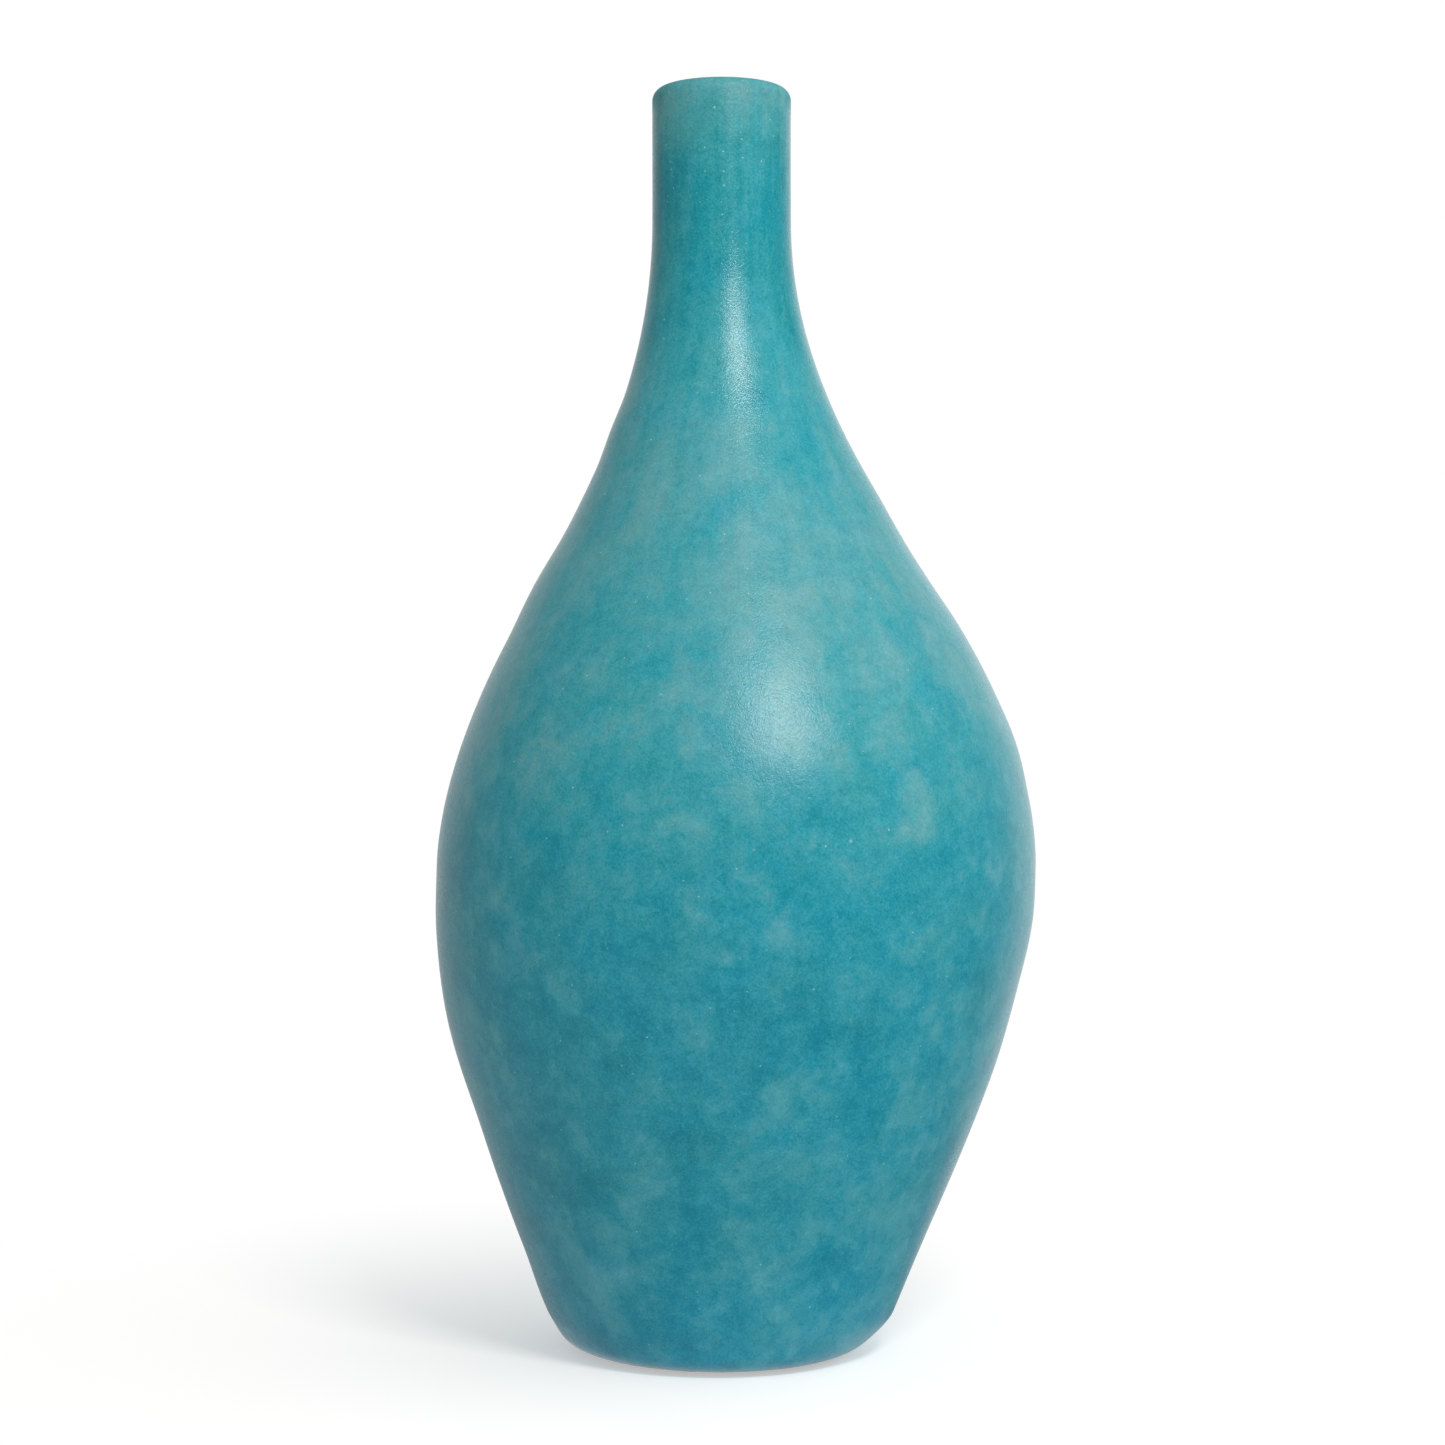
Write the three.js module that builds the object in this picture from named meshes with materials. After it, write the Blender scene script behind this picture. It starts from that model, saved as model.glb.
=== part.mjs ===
// A tall bottle vase: a terracotta pot thrown in three sections, luted together with slip and fired, then
// covered with two coats of lime plaster, the outer one coloured turquoise and burnished.
// Millimetres, +Z up. The table is at z = 0, and the belly's widest ring is centred on the Z axis.
import * as THREE from 'three';

// The outside of the finished vase
const HEIGHT = 500; // from the table to the top of the lip
const BELLY_RADIUS = 118.6;
const BELLY_HEIGHT = 188; // of the widest ring over the table
const NECK_RADIUS = 27.6;
const NECK_LENGTH = 53; // the straight part, from the lip down
const SEAT_RADIUS = 45.5; // the outside of the clay ring that the vase stands on
const WALL_LEAN = 22.8; // degrees from upright, where the wall leaves the foot's rounding

// How full the curves are, each as a share of the stretch that it belongs to
const HIP_FULLNESS = 0.95; // how long the wall above the foot keeps its lean
const BELLY_FULLNESS = 0.19; // how long the belly stays upright below its widest ring
const SHOULDER_FULLNESS = 0.37; // and above it
const NECK_FULLNESS = 0.425; // how far down the shoulder the neck's line is held

// The pot was thrown by hand: its belly swells off the line through the foot and the neck, towards +X
const SWELL = 6.5; // the most that a ring is off that line
const SWELL_RISE = 58; // from the belly's widest ring up to the ring that is furthest off

// The lip and the mouth
const LIP_ROUNDING = 5; // outer edge of the lip
const MOUTH_ROUNDING = 4; // inner edge of the lip
const MOUTH_COAT_DEPTH = 30; // how far the finish coat is turned down into the mouth

// The plaster
const FINISH_COAT = 1.5;
const FIRST_COAT = 4;
const COAT_LIFT = 0.8; // the plaster stops this far above the table

// The clay
const NECK_WALL = 5; // it is thinnest in the neck
const BASE_WALL = 9; // and thickest at the foot
const FLOOR_ROUNDING = 9.5; // inside, where the floor turns up into the wall
const RING_WIDTH = 9; // of the foot ring
const RECESS_DEPTH = 5; // the hollow inside the foot ring
const RECESS_SLOPE = 3; // how far the hollow's side leans in over that depth

// The two joints between the thrown sections, each a V of slip
const BELLY_JOINT_RISE = 17; // from the belly's widest ring up to the lower joint
const NECK_SKIRT = 43; // from the straight neck down to the upper joint
const JOINT_DEPTH = 3; // how far the upper rim's point reaches into the lower rim's groove
const LUTE = 1.6; // thickness of the slip

// Clearance between pieces that bear on each other
const GAP = 0.3;

// How finely the curves are cut
const STEPS_AROUND = 48;
const FOOT_STEPS = 3;
const HIP_STEPS = 9;
const SHOULDER_STEPS = 13;
const LIP_STEPS = 4;

const CLAY_DEPTH = FINISH_COAT + GAP + FIRST_COAT + GAP; // from the finished surface to the clay
const FOOT_ROUNDING = CLAY_DEPTH + BASE_WALL + FLOOR_ROUNDING; // the plaster's turn under the foot
const COAT_EDGE = SEAT_RADIUS + GAP; // the plaster ends here, beside the clay ring
const NECK_START = HEIGHT - NECK_LENGTH;
const BORE_RADIUS = NECK_RADIUS - CLAY_DEPTH - NECK_WALL;
const MOUTH_RADIUS = BORE_RADIUS - GAP - FINISH_COAT;
const SWELL_HEIGHT = BELLY_HEIGHT + SWELL_RISE;
const BELLY_JOINT = BELLY_HEIGHT + BELLY_JOINT_RISE;
const NECK_JOINT = NECK_START - NECK_SKIRT;

const at = (radius, height) => new THREE.Vector2(radius, height);

// The outline from the foot to the straight neck, as curves in (radius, height)
function outlineCurves() {
  const lean = THREE.MathUtils.degToRad(WALL_LEAN);
  const foot = new THREE.EllipseCurve(
    COAT_EDGE, COAT_LIFT + FOOT_ROUNDING, FOOT_ROUNDING, FOOT_ROUNDING, -Math.PI / 2, -lean, false,
  );
  const wallStart = foot.getPoint(1);
  const wallRise = (BELLY_RADIUS - wallStart.x) / Math.tan(lean); // until the lean meets the belly's width
  const hip = new THREE.CubicBezierCurve(
    wallStart,
    wallStart.clone().lerp(at(BELLY_RADIUS, wallStart.y + wallRise), HIP_FULLNESS),
    at(BELLY_RADIUS, THREE.MathUtils.lerp(BELLY_HEIGHT, wallStart.y, BELLY_FULLNESS)),
    at(BELLY_RADIUS, BELLY_HEIGHT),
  );
  const shoulder = new THREE.CubicBezierCurve(
    at(BELLY_RADIUS, BELLY_HEIGHT),
    at(BELLY_RADIUS, THREE.MathUtils.lerp(BELLY_HEIGHT, NECK_START, SHOULDER_FULLNESS)),
    at(NECK_RADIUS, THREE.MathUtils.lerp(NECK_START, BELLY_HEIGHT, NECK_FULLNESS)),
    at(NECK_RADIUS, NECK_START),
  );
  return [
    [foot, FOOT_STEPS],
    [hip, HIP_STEPS],
    [shoulder, SHOULDER_STEPS],
  ];
}

// The side of the vase at a depth under the finished surface, from the foot up to the straight neck
function side(depthAt) {
  const points = [];
  for (const [curve, steps] of outlineCurves()) {
    for (let i = points.length ? 1 : 0; i <= steps; i++) {
      const point = curve.getPoint(i / steps);
      const along = curve.getTangent(i / steps);
      points.push(point.clone().addScaledVector(at(-along.y, along.x), depthAt(point.y)));
    }
  }
  return points;
}

// A quarter turn up to an angle, or the corner that it would round once there is no radius left
function quarterTurn(centre, radius, end, corner) {
  if (radius < GAP) return [corner];
  const turn = new THREE.EllipseCurve(centre.x, centre.y, radius, radius, end - Math.PI / 2, end, false);
  return turn.getPoints(LIP_STEPS);
}

// The outer edge of the lip at a depth under the finished surface, from the neck to the top
function lipEdge(depth) {
  const centre = at(NECK_RADIUS - LIP_ROUNDING, HEIGHT - LIP_ROUNDING);
  return quarterTurn(centre, LIP_ROUNDING - depth, Math.PI / 2, at(NECK_RADIUS - depth, HEIGHT - depth));
}

// The edge of the mouth at a depth under the finished surface, from the top into the mouth
function mouthEdge(depth) {
  const centre = at(MOUTH_RADIUS + MOUTH_ROUNDING, HEIGHT - MOUTH_ROUNDING);
  return quarterTurn(centre, MOUTH_ROUNDING - depth, Math.PI, at(MOUTH_RADIUS + depth, HEIGHT - depth));
}

// Thickness of the clay at a height
function clayWall(height) {
  return THREE.MathUtils.lerp(BASE_WALL, NECK_WALL, height / NECK_START);
}

const clayOutside = side(() => CLAY_DEPTH);
const clayInside = side((height) => CLAY_DEPTH + clayWall(height));

// The points of a side between two heights, and its radius at a height
const between = (points, low, high) => points.filter((p) => p.y > low + GAP && p.y < high - GAP);

function radiusAt(points, height) {
  const above = points.findIndex((p) => p.y >= height);
  const [a, b] = [points[above - 1], points[above]];
  return THREE.MathUtils.mapLinear(height, a.y, b.y, a.x, b.x);
}

// The V across the clay wall at a joint, from the outside in
function rim(height) {
  const outer = radiusAt(clayOutside, height);
  const inner = radiusAt(clayInside, height);
  return [at(outer, height), at((outer + inner) / 2, height - JOINT_DEPTH), at(inner, height)];
}

// A ring of the clay wall between two joints
function clayRing(low, high) {
  return [
    ...rim(low).reverse(),
    ...between(clayOutside, low, high),
    ...rim(high),
    ...between(clayInside, low, high).reverse(),
  ];
}

// Each piece has an outline in (radius, height), counterclockwise
const bottomOfLute = (height) => height - LUTE / 2 - GAP;
const topOfLute = (height) => height + LUTE / 2 + GAP;

function baseSection() {
  const top = bottomOfLute(BELLY_JOINT);
  const ringInside = SEAT_RADIUS - RING_WIDTH;
  return [
    at(0, RECESS_DEPTH),
    at(ringInside - RECESS_SLOPE, RECESS_DEPTH),
    at(ringInside, 0),
    at(SEAT_RADIUS, 0),
    at(SEAT_RADIUS, clayOutside[0].y),
    ...between(clayOutside.slice(1), 0, top),
    ...rim(top),
    ...between(clayInside, 0, top).reverse(),
    at(0, clayInside[0].y),
  ];
}

function lute(height) {
  return clayRing(height - LUTE / 2, height + LUTE / 2);
}

function shoulderSection() {
  return clayRing(topOfLute(BELLY_JOINT), bottomOfLute(NECK_JOINT));
}

function neckSection() {
  const low = topOfLute(NECK_JOINT);
  return [
    ...rim(low).reverse(),
    ...between(clayOutside, low, HEIGHT),
    ...lipEdge(CLAY_DEPTH),
    at(BORE_RADIUS, HEIGHT - CLAY_DEPTH),
    ...between(clayInside, low, HEIGHT).reverse(),
  ];
}

function firstCoat() {
  const outside = FINISH_COAT + GAP;
  const inside = outside + FIRST_COAT;
  return [
    ...side(() => outside),
    ...lipEdge(outside),
    ...mouthEdge(outside),
    at(BORE_RADIUS, HEIGHT - inside),
    ...lipEdge(inside).reverse(),
    ...side(() => inside).reverse(),
  ];
}

function finishCoat() {
  const turnedDown = HEIGHT - MOUTH_COAT_DEPTH;
  return [
    ...side(() => 0),
    ...lipEdge(0),
    ...mouthEdge(0),
    at(MOUTH_RADIUS, turnedDown),
    at(MOUTH_RADIUS + FINISH_COAT, turnedDown),
    ...mouthEdge(FINISH_COAT).reverse(),
    ...lipEdge(FINISH_COAT).reverse(),
    ...side(() => FINISH_COAT).reverse(),
  ];
}

// How far a ring's centre stands off the line through the foot and the neck
function swellAt(height) {
  const reach = height > SWELL_HEIGHT ? NECK_START - SWELL_HEIGHT : SWELL_HEIGHT;
  const away = Math.min(Math.abs(height - SWELL_HEIGHT) / reach, 1);
  return (SWELL * (1 + Math.cos(Math.PI * away))) / 2;
}

// Turns an outline into a closed body round the Z axis, and moves each ring to its own centre
function thrown(outline) {
  const points = [...outline];
  if (points[0].x > 0) points.push(points[0].clone());
  const geometry = new THREE.LatheGeometry(points, STEPS_AROUND);
  geometry.rotateX(Math.PI / 2);
  const position = geometry.getAttribute('position');
  for (let i = 0; i < position.count; i++) {
    const offCentre = swellAt(position.getZ(i)) - swellAt(BELLY_HEIGHT);
    position.setX(i, position.getX(i) + offCentre);
  }
  geometry.computeVertexNormals();
  return geometry;
}

const terracotta = new THREE.MeshStandardMaterial({ color: 0xb4714e, roughness: 0.9, metalness: 0 });
const slip = new THREE.MeshStandardMaterial({ color: 0x9a5a3e, roughness: 0.95, metalness: 0 });
const limePlaster = new THREE.MeshStandardMaterial({ color: 0x8fb9bb, roughness: 0.85, metalness: 0 });
const burnishedPlaster = new THREE.MeshStandardMaterial({ color: 0x2f97a4, roughness: 0.4, metalness: 0 });

const vase = new THREE.Group();
const pieces = [
  ['base_section', baseSection(), terracotta],
  ['belly_lute', lute(BELLY_JOINT), slip],
  ['shoulder_section', shoulderSection(), terracotta],
  ['neck_lute', lute(NECK_JOINT), slip],
  ['neck_section', neckSection(), terracotta],
  ['first_coat', firstCoat(), limePlaster],
  ['finish_coat', finishCoat(), burnishedPlaster],
];
for (const [name, outline, material] of pieces) {
  const mesh = new THREE.Mesh(thrown(outline), material);
  mesh.name = name;
  vase.add(mesh);
}

export default vase;
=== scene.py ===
"""Looks of the plaster vase: a thrown terracotta pot under two coats of lime plaster.

Each CAD node gets a smooth piece of the same sizes. Lengths are metres, +Z is up, and the camera
looks along +Y.
"""

from math import cos, pi, radians, sin, tan

import bmesh
import bpy
from bpy.props import (
    FloatProperty,
    FloatVectorProperty,
    IntProperty,
    PointerProperty,
)
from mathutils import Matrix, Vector, noise
from mathutils.geometry import interpolate_bezier


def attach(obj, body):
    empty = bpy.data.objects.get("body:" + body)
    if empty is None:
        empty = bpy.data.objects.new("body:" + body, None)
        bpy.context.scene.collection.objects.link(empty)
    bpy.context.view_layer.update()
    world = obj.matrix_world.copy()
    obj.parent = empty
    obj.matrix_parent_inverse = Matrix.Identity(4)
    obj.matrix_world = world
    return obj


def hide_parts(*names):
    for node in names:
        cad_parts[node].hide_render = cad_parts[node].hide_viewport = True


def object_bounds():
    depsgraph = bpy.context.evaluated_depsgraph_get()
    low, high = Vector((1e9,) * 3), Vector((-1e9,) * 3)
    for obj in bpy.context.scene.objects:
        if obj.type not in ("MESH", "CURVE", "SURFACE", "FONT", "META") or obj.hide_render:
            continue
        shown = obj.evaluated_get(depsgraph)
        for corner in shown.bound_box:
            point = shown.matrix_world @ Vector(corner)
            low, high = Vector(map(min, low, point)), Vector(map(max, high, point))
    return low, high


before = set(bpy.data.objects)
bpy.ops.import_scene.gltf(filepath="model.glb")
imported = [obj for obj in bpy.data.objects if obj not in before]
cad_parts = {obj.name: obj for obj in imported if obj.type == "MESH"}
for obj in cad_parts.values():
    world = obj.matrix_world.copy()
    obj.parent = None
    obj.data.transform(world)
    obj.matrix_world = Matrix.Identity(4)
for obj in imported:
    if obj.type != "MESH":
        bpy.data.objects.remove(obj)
CAD_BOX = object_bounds()

bl_info = {
    "name": "Plaster vase",
    "version": (1, 0, 0),
    "blender": (4, 5, 0),
    "location": "3D View > Sidebar > Vase",
    "description": "Throws, plasters and burnishes a tall bottle vase, and sets up its photograph",
    "category": "Add Mesh",
}

MM = 0.001
# Points of an outline, and corners of a mesh, that are nearer than this are one
SAME_POINT = 0.02 * MM
MERGE_DISTANCE = 0.005 * MM
# Edges bent by less are shaded smooth, and the foot ring's that are bent by more are worn round
SOFT_BELOW = radians(35)
CORNER_ABOVE = radians(20)
# A whole turn is spun as copies of one sector, because one long spin is slow
SECTORS = 8
FLOOR_SIDES = 96
SENSOR_WIDTH = 36


# Properties


def length(name, description, millimetres):
    return FloatProperty(
        name=name,
        description=description,
        default=millimetres * MM,
        subtype="DISTANCE",
        unit="LENGTH",
        precision=4,
    )


def share(name, description, default):
    return FloatProperty(
        name=name,
        description=description,
        default=default,
        min=0,
        max=1,
        subtype="FACTOR",
    )


def angle(name, description, default):
    return FloatProperty(
        name=name,
        description=description,
        default=radians(default),
        subtype="ANGLE",
        unit="ROTATION",
    )


def count(name, description, default):
    return IntProperty(name=name, description=description, default=default, min=3)


def colour(name, description, *linear):
    return FloatVectorProperty(
        name=name,
        description=description,
        default=linear,
        min=0,
        max=1,
        size=3,
        subtype="COLOR",
    )


def power(name, description, watts):
    return FloatProperty(
        name=name, description=description, default=watts, min=0, unit="POWER"
    )


class VaseShape(bpy.types.PropertyGroup):
    """Sizes of the pot and its plaster, the same as the CAD part's"""

    height: length("Height", "From the table to the top of the lip", 500)
    belly_radius: length("Belly radius", "At the widest ring", 118.6)
    belly_height: length("Belly height", "Of the widest ring over the table", 188)
    neck_radius: length("Neck radius", "Outside of the straight neck", 27.6)
    neck_length: length("Neck length", "Straight part, from the lip down", 53)
    seat_radius: length("Seat radius", "Outside of the clay foot ring", 45.5)
    wall_lean: angle(
        "Wall lean", "From upright, where the wall leaves the foot", 22.8
    )
    hip_fullness: share("Hip", "How long the wall keeps its lean", 0.95)
    belly_fullness: share(
        "Belly", "How long the belly stays upright below its widest ring", 0.19
    )
    shoulder_fullness: share("Shoulder", "And above it", 0.37)
    neck_fullness: share("Neck", "How far down the neck's line is held", 0.425)
    swell: length("Swell", "The most that a ring is off the foot's line", 6.5)
    swell_rise: length("Swell rise", "From the widest ring to the one furthest off", 58)

    lip_rounding: length("Lip rounding", "Outer edge of the lip", 5)
    mouth_rounding: length("Mouth rounding", "Inner edge of the lip", 4)
    mouth_coat_depth: length(
        "Mouth coat", "How far the finish coat is turned into the mouth", 30
    )
    finish_coat: length("Finish coat", "Thickness of the coloured plaster", 1.5)
    first_coat: length("First coat", "Thickness of the plaster under it", 4)
    coat_lift: length("Coat lift", "The plaster stops this far over the table", 0.8)

    neck_wall: length("Neck wall", "Clay in the neck", 5)
    base_wall: length("Base wall", "Clay at the foot", 9)
    floor_rounding: length("Floor rounding", "Inside, between floor and wall", 9.5)
    ring_width: length("Ring width", "Of the foot ring", 9)
    recess_depth: length("Recess depth", "Of the hollow inside the foot ring", 5)
    recess_slope: length("Recess slope", "How far the hollow's side leans in", 3)
    recess_ripple: length("Recess ripple", "Steps that a finger left in the hollow", 0.25)
    worn_edge: length("Worn edge", "Rounding of the foot ring's edges", 0.9)
    belly_joint_rise: length("Belly joint", "Over the widest ring", 17)
    neck_skirt: length("Neck skirt", "Upper joint, below the straight neck", 43)
    joint_depth: length("Joint depth", "Of the V between two sections", 3)
    lute: length("Lute", "Thickness of the slip in a joint", 1.6)
    gap: length("Gap", "Clearance between pieces that bear on each other", 0.3)

    ring_pitch: length("Ring pitch", "Of the throwing rings inside", 11)
    ring_deep: length("Ring depth", "Of the throwing rings inside", 0.5)
    soft_wave: length("Slow wave", "Depth of the wall's slow unevenness", 0.6)
    soft_pitch: length("Slow wave size", "Width of the slow unevenness", 70)
    stone_wave: length("Stone marks", "Depth of the burnishing stone's facets", 0.10)
    stone_pitch: length("Stone mark size", "Width of the stone's facets", 13)
    stone_stretch: FloatProperty(
        name="Stone mark stretch",
        description="How much taller than wide they are",
        default=5,
    )
    even_ends: length("Even ends", "The unevenness fades this near to foot and lip", 15)

    steps_around: count("Steps", "Around the clay and the first coat", 128)
    coat_steps: count("Coat steps", "Around the finish coat", 232)
    point_spacing: length("Point spacing", "Along the outline", 3)

    @property
    def clay_depth(self):
        return self.finish_coat + self.first_coat + 2 * self.gap

    @property
    def foot_rounding(self):
        return self.clay_depth + self.base_wall + self.floor_rounding

    @property
    def neck_start(self):
        return self.height - self.neck_length

    @property
    def bore_radius(self):
        return self.neck_radius - self.clay_depth - self.neck_wall

    @property
    def mouth_radius(self):
        return self.bore_radius - self.gap - self.finish_coat


class PlasterFinish(bpy.types.PropertyGroup):
    """Colours and marks of the burnished lime plaster"""

    body: colour("Body", "Most of the upper vase", 0.040, 0.380, 0.446)
    low_body: colour("Low body", "The same, lower down", 0.018, 0.345, 0.444)
    deep: colour("Deep", "Where the stone closed the plaster most", 0.0, 0.308, 0.377)
    low_deep: colour("Low deep", "The same, lower down", 0.0, 0.282, 0.388)
    chalk: colour("Chalk", "Where lime came to the surface", 0.205, 0.468, 0.492)
    low_chalk: colour("Low chalk", "The same, lower down", 0.090, 0.442, 0.520)
    grain: colour("Grain", "What the grain adds to these, or takes away", 0.14, 0.39, 0.42)
    lime: colour("Lime", "Specks of unslaked lime", 0.58, 0.80, 0.70)
    # Painted shade: a dark brown hem along the coat's lower edge stands in for the contact shadow under
    # the foot
    hem_shadow: colour("Raw edge", "Bare plaster under the foot", 0.16, 0.10, 0.065)
    pit: colour("Pit", "Pinholes in the surface", 0.020, 0.075, 0.085)
    cloud_size: length("Cloud size", "Width of the clouds", 26)
    dab_size: length("Dab size", "Of the small dabs of the stone", 11)
    blot_size: length("Blot size", "Of the pale blots between thin deep creases", 17)
    haze_size: length("Haze size", "How far the clouds' zones wander", 60)
    streak_width: length("Stroke width", "Of the stone's upright strokes on the shoulder", 4)
    sand_size: length("Sand size", "Of the coarser grain in the plaster", 4)
    grain_size: length("Grain size", "Of the finest grain", 0.7)
    speck_spacing: length("Speck spacing", "Between specks of lime", 4.6)
    speck_radius: length("Speck radius", "Of the largest specks", 0.42)
    grain_depth: length("Grain depth", "Of the sand's relief", 0.045)
    # The edge of that painted shade hem
    hem_roughness: length("Hem roughness", "How far the bare hem's edge wanders", 0.5)
    clouds: share("Clouds", "How strongly they show", 0.115)
    low_clouds: share("Low clouds", "And how much more so lower down", 0.05)
    dabs: share("Dabs", "How strongly they show", 0.04)
    low_dabs: share("Low dabs", "And how much more so lower down", 0.04)
    blots: share("Blots", "How strongly they show", 0.035)
    low_blots: share("Low blots", "And how much more so lower down", 0.17)
    strokes: share("Strokes", "How strongly they show", 0.02)
    high_strokes: share("High strokes", "And how much more so on shoulder and neck", 0.05)
    chalk_marks: share("Pale marks", "How strongly the placed ones show", 0.20)
    # Also painted shade, in the deep marks that dim highlights and the right edge's reflection
    deep_and_shade_marks: share("Deep marks", "How strongly the placed ones show", 0.22)
    # Painted shade: how much darker the shade marks make the coat
    painted_shade_marks: share("Shaded marks", "How much darker they are", 0.17)
    gloss: share("Roughness", "Of the burnished surface", 0.26)
    sheen: share("Sheen", "Strength of its mirroring", 0.46)


class ClayFinish(bpy.types.PropertyGroup):
    """Colours of the fired clay, the slip and the first coat"""

    terracotta: colour("Terracotta", "Fired clay", 0.47, 0.19, 0.10)
    toasted: colour("Toasted", "Where the clay was fired harder", 0.31, 0.11, 0.06)
    slip: colour("Slip", "In the joints", 0.32, 0.115, 0.06)
    first_coat: colour("First coat", "Plaster under the finish coat", 0.27, 0.49, 0.50)
    first_coat_pale: colour("First coat, pale", "Its lime-rich parts", 0.50, 0.64, 0.63)
    cloud_size: length("Cloud size", "Width of the clouds in the clay", 30)
    sand_size: length("Sand size", "Of the grit in the clay", 1.6)
    ring_size: length("Wheel mark size", "Height of the fine rings from the wheel", 1.5)
    relief: length("Relief", "Depth of the grit and the rings", 0.09)
    coat_cloud_size: length("First coat clouds", "Their width", 26)
    coat_sand_size: length("First coat sand", "Size of its grains", 1.2)
    coat_relief: length("First coat relief", "Depth of its grain", 0.15)


class Studio(bpy.types.PropertyGroup):
    """Camera, lamps and surroundings of the photograph"""

    camera_distance: length("Camera distance", "From the vase's axis", 1193)
    camera_height: length("Camera height", "Over the table", 248)
    camera_side: length("Camera side", "Along X", -5.3)
    focal_length: FloatProperty(
        name="Focal length",
        description="On a 36 mm sensor",
        default=74.7,
        unit="CAMERA",
    )
    key_power: power("Key", "Softbox at the front, right and above", 9.5)
    key_colour: colour("Key colour", "Slightly warm", 1.0, 0.93, 0.875)
    key_width: length("Key width", "Of the softbox", 420)
    key_height: length("Key height", "Of the softbox", 140)
    key_distance: length("Key distance", "From the vase's middle", 1500)
    key_azimuth: angle("Key azimuth", "To the right of the camera", 19.3)
    key_elevation: angle("Key elevation", "Over the horizon", 41.7)
    sky: share("Sky", "Soft light from all around", 0.56)
    sky_tilt: share("Sky tilt", "How much more of it comes from the right", 0.37)
    left_flag: share("Flag", "How much of it a flag at the upper left takes away", 0.16)
    floor_colour: colour("Floor", "Plain pale paper", 0.80, 0.80, 0.80)
    floor_radius: length("Floor radius", "Of the paper that the vase stands on", 3000)
    paper_lift: share("Paper lift", "Brightness that only the camera sees on it", 0.44)
    fade_start: length("Fade start", "From here the paper turns into plain white", 120)
    fade_end: length("Fade end", "From here it is plain white", 420)


# Outlines, as points in (radius, height)


def at(radius, height):
    return Vector((radius, height))


def between_ends(low, high, part):
    return low + (high - low) * part


def arc(centre, radius, start, end, spacing):
    """Points on an arc, at half the spacing"""
    steps = max(3, round(abs(end - start) * radius / spacing * 2))
    turn = (end - start) / steps
    return [
        centre + radius * at(cos(start + turn * i), sin(start + turn * i))
        for i in range(steps + 1)
    ]


def bezier(a, b, c, d, spacing):
    steps = max(3, round((d - a).length / spacing))
    return [Vector(p[:2]) for p in interpolate_bezier(a, b, c, d, steps + 1)]


def straight(a, b, spacing):
    steps = max(1, round((b - a).length / spacing))
    return [a.lerp(b, i / steps) for i in range(steps + 1)]


def joined(*lines):
    """Lines end to end, without the points that they share"""
    points = []
    for line in lines:
        for point in line:
            if not points or (point - points[-1]).length > SAME_POINT:
                points.append(point)
    return points


def outside(shape):
    """The finished surface from under the foot to the top of the straight neck"""
    spacing = shape.point_spacing
    belly, neck = shape.belly_radius, shape.neck_radius
    widest, neck_start = shape.belly_height, shape.neck_start
    rounding = shape.foot_rounding
    edge = at(shape.seat_radius + shape.gap, shape.coat_lift + rounding)
    foot = arc(edge, rounding, -pi / 2, -shape.wall_lean, spacing)
    wall = foot[-1]
    lean_end = at(belly, wall.y + (belly - wall.x) / tan(shape.wall_lean))
    hip = bezier(
        wall,
        wall.lerp(lean_end, shape.hip_fullness),
        at(belly, between_ends(widest, wall.y, shape.belly_fullness)),
        at(belly, widest),
        spacing,
    )
    shoulder = bezier(
        at(belly, widest),
        at(belly, between_ends(widest, neck_start, shape.shoulder_fullness)),
        at(neck, between_ends(neck_start, widest, shape.neck_fullness)),
        at(neck, neck_start),
        spacing,
    )
    top = straight(
        at(neck, neck_start), at(neck, shape.height - shape.lip_rounding), spacing
    )
    return joined(foot, hip, shoulder, top)


def side(shape, depth_at):
    """The side of the vase at a depth under the finished surface"""
    line = outside(shape)
    points = []
    for i, point in enumerate(line):
        along = line[min(i + 1, len(line) - 1)] - line[max(i - 1, 0)]
        inwards = at(-along.y, along.x).normalized()
        if i == 0:
            inwards = at(0, 1)
        points.append(point + inwards * depth_at(point.y))
    return points


def lip_edge(shape, depth):
    """The outer edge of the lip at a depth, from the neck to the top"""
    centre = at(shape.neck_radius - shape.lip_rounding, shape.height - shape.lip_rounding)
    radius = shape.lip_rounding - depth
    if radius < shape.gap:
        return [at(shape.neck_radius - depth, shape.height - depth)]
    return arc(centre, radius, 0, pi / 2, shape.point_spacing / 2)


def mouth_edge(shape, depth):
    """The edge of the mouth at a depth, from the top into the mouth"""
    centre = at(
        shape.mouth_radius + shape.mouth_rounding, shape.height - shape.mouth_rounding
    )
    radius = shape.mouth_rounding - depth
    if radius < shape.gap:
        return [at(shape.mouth_radius + depth, shape.height - depth)]
    return arc(centre, radius, pi / 2, pi, shape.point_spacing / 2)


def clay_outside(shape):
    return side(shape, lambda height: shape.clay_depth)


def clay_inside(shape):
    """The inner wall, with the rings that the potter's fingers left"""

    def depth_at(height):
        up = min(height / shape.neck_start, 1)
        wall = between_ends(shape.base_wall, shape.neck_wall, up)
        ring = (1 - cos(2 * pi * height / shape.ring_pitch)) / 2
        return shape.clay_depth + wall - ring * shape.ring_deep * (1 - up)

    return side(shape, depth_at)


def stretch(shape, line, low, high):
    return [p for p in line if low + shape.gap < p.y < high - shape.gap]


def radius_at(line, height):
    above = next(i for i, p in enumerate(line) if p.y >= height)
    a, b = line[above - 1], line[above]
    return between_ends(a.x, b.x, (height - a.y) / (b.y - a.y))


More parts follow.
